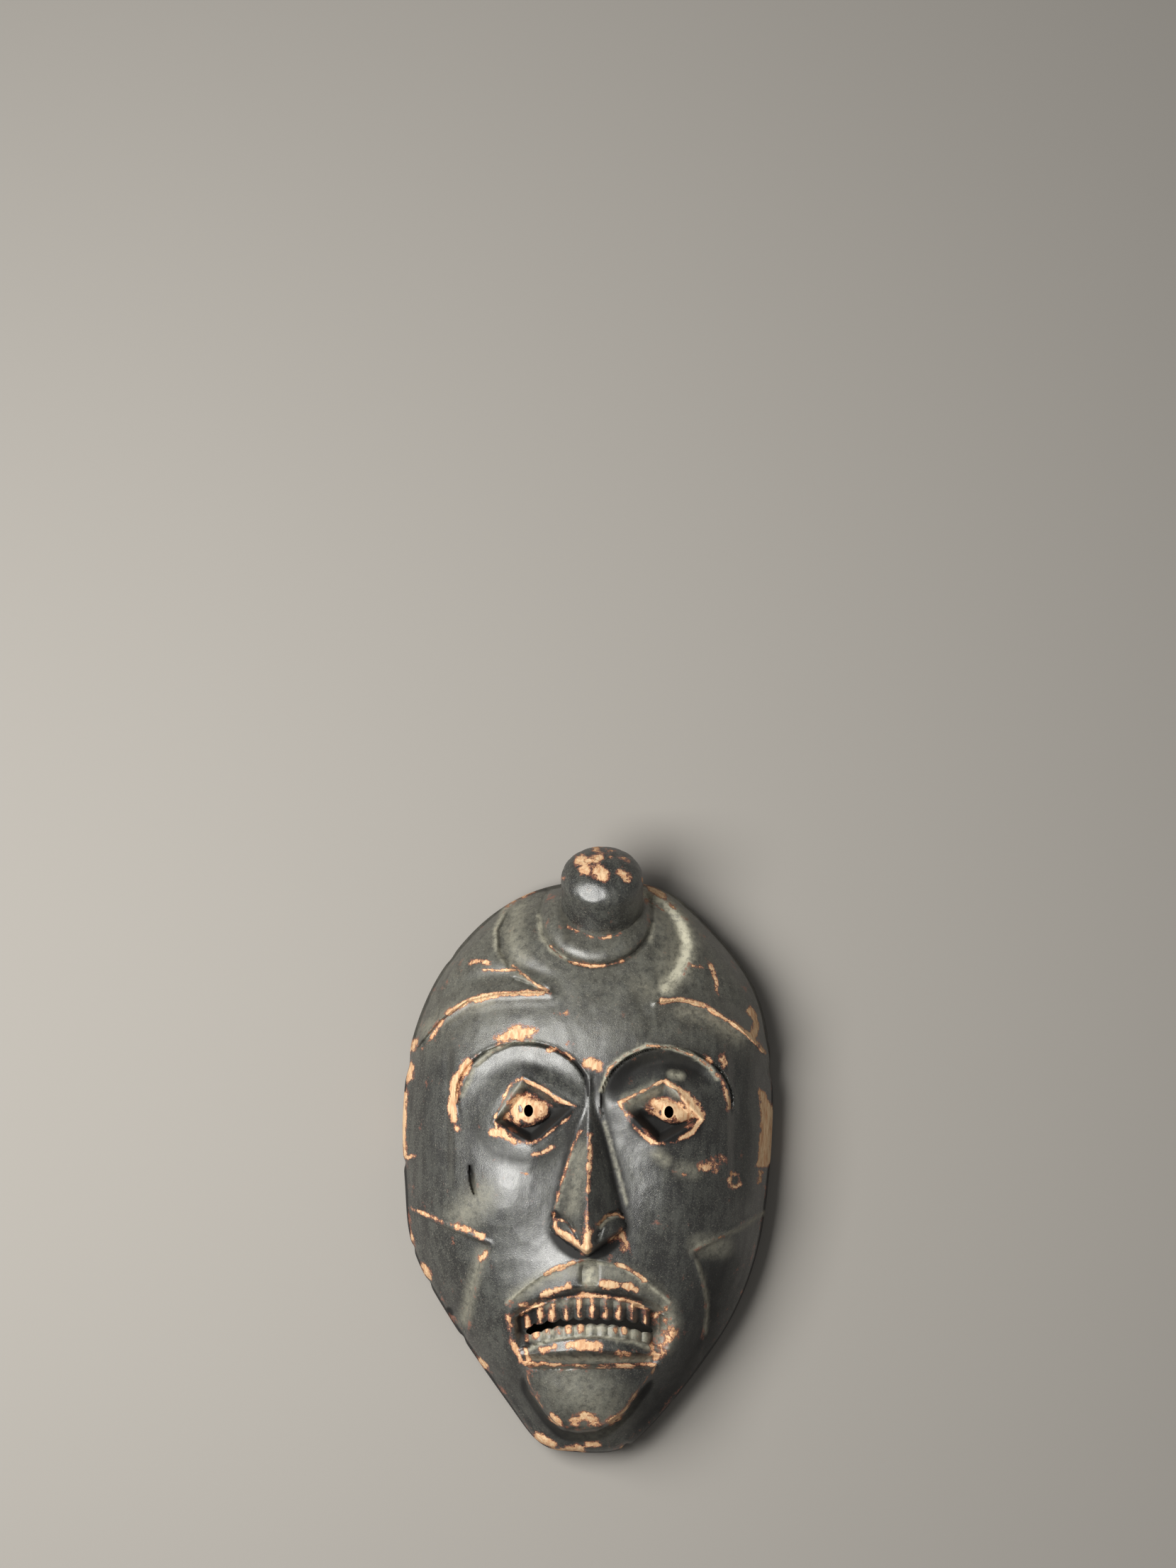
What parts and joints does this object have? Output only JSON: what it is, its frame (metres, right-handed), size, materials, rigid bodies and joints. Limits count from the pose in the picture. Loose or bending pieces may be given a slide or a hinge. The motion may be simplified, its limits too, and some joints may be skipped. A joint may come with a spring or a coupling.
{
  "type": "carved wooden face mask",
  "caption": "Hollow face mask of blackened carved wood, with diamond eye frames, a wedge nose, bared teeth, a chin plate and a leaning topknot on a collar.",
  "frame": {"origin": "under the middle of the mask, on the plane that the back rim rests on", "axes": "+X to the viewer's right, +Y to the crown, +Z out of the face"},
  "size_m": [0.184, 0.3003, 0.0929],
  "materials": {
    "blackened_wood": "satin"
  },
  "bodies": {
    "root": {"mask": "blackened_wood"}
  },
  "joints": []
}
